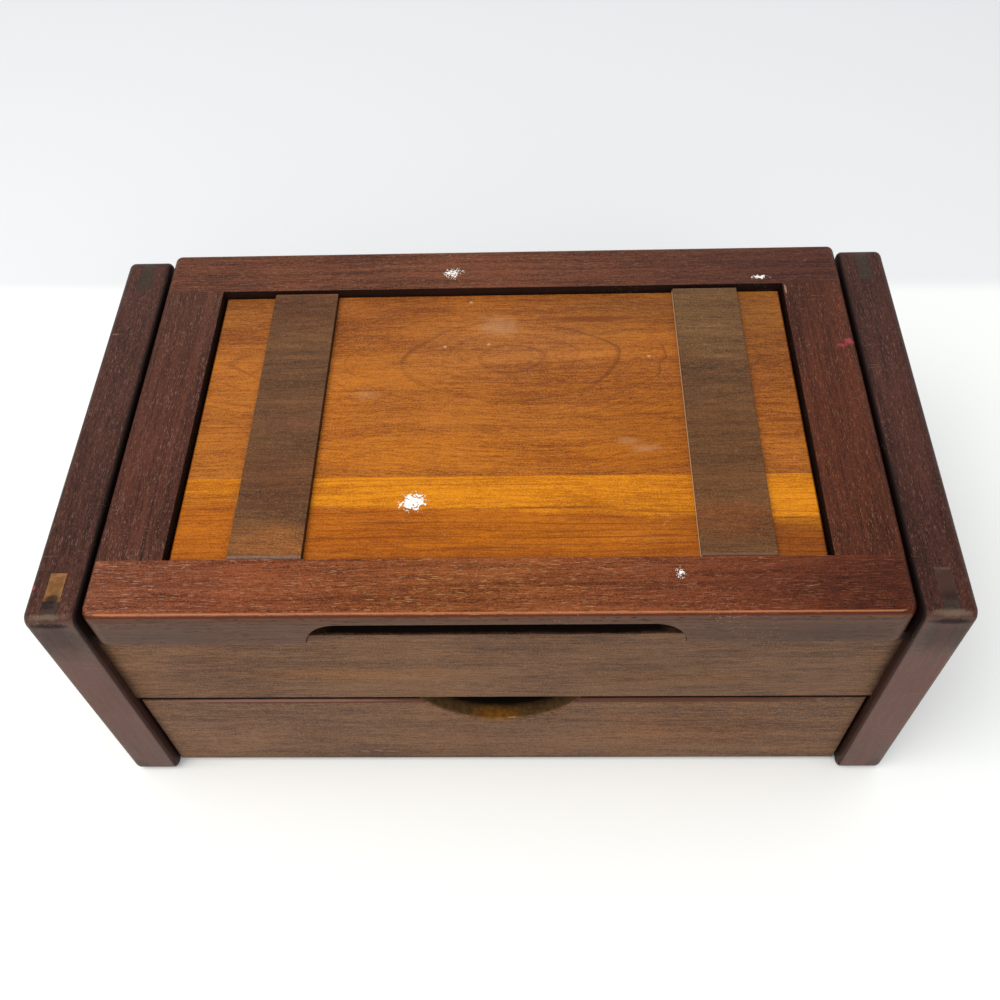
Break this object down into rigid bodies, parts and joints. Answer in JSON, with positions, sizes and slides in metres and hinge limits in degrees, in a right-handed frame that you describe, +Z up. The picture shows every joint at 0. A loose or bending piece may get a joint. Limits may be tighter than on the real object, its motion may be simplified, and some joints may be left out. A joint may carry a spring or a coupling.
{
  "type": "jewelry box with drawer",
  "caption": "Low wooden jewelry box with open-framed ends, a hinged lid with a recessed panel over a divided tray space, and a drawer below with a finger scoop.",
  "frame": {"origin": "centre of the bounding box's base, on the surface that the box stands on", "axes": "+X to the right seen from the front, +Y towards the back, +Z up; the drawer opens towards -Y"},
  "size_m": [0.33, 0.2004, 0.122],
  "materials": {
    "end_frame_wood": "dark purple-brown open-pored hardwood, oiled satin, eased edges worn paler",
    "end_panel_wood": "dark brown hardwood panel, oiled satin",
    "lid_frame_wood": "dark red-brown hardwood, oiled satin",
    "lid_front_wood": "redder brown hardwood, oiled satin, grain along the rail",
    "cherry_panel": "orange-brown cherry with an oval cathedral figure, satin",
    "golden_panel": "golden board darkening to orange-brown towards the front, satin",
    "band_wood": "grey-brown walnut, satin",
    "front_walnut": "grey-brown walnut, satin",
    "case_back_wood": "brown hardwood, satin",
    "floor_ply": "pale plywood, plain",
    "drawer_box_wood": "pale maple, waxed",
    "divider_wood": "thin walnut strips, satin",
    "runner_wood": "hard pale wood, waxed",
    "brass": "satin brass, slightly dulled",
    "steel_screws": "plain zinc-plated steel",
    "felt": "matt wine-red wool felt"
  },
  "bodies": {
    "case": {"case_back": "case_back_wood", "case_front": "front_walnut", "case_hinge_screws": "brass", "compartment_floor": "floor_ply", "left_bottom_rail": "end_frame_wood", "left_compartment_felt": "felt", "left_divider": "divider_wood", "left_end_panel": "end_panel_wood", "left_front_post": "end_frame_wood", "left_hinge_case_leaf": "brass", "left_hinge_pin": "brass", "left_rear_post": "end_frame_wood", "left_runner": "runner_wood", "left_runner_screws": "steel_screws", "left_top_rail": "end_frame_wood", "middle_compartment_felt": "felt", "right_bottom_rail": "end_frame_wood", "right_compartment_felt": "felt", "right_divider": "divider_wood", "right_end_panel": "end_panel_wood", "right_front_post": "end_frame_wood", "right_hinge_case_leaf": "brass", "right_hinge_pin": "brass", "right_rear_post": "end_frame_wood", "right_runner": "runner_wood", "right_runner_screws": "steel_screws", "right_top_rail": "end_frame_wood"},
    "lid": {"left_hinge_lid_leaf": "brass", "lid_back_rail": "lid_frame_wood", "lid_front_rail": "lid_front_wood", "lid_hinge_screws": "brass", "lid_left_band": "band_wood", "lid_left_stile": "lid_frame_wood", "lid_panel_front_board": "golden_panel", "lid_panel_main_board": "cherry_panel", "lid_right_band": "band_wood", "lid_right_stile": "lid_frame_wood", "right_hinge_lid_leaf": "brass"},
    "drawer": {"drawer_back": "drawer_box_wood", "drawer_bottom": "floor_ply", "drawer_felt": "felt", "drawer_front": "front_walnut", "drawer_left_side": "drawer_box_wood", "drawer_right_side": "drawer_box_wood"}
  },
  "joints": [
    {"name": "lid_hinge", "type": "hinge", "parent": "case", "child": "lid", "pos_m": [0, 0.09775, 0.105], "axis": [-1, 0, 0], "range_deg": [0, 95]},
    {"name": "drawer_slide", "type": "slide", "parent": "case", "child": "drawer", "axis": [0, -1, 0], "range_m": [0, 0.115]}
  ]
}
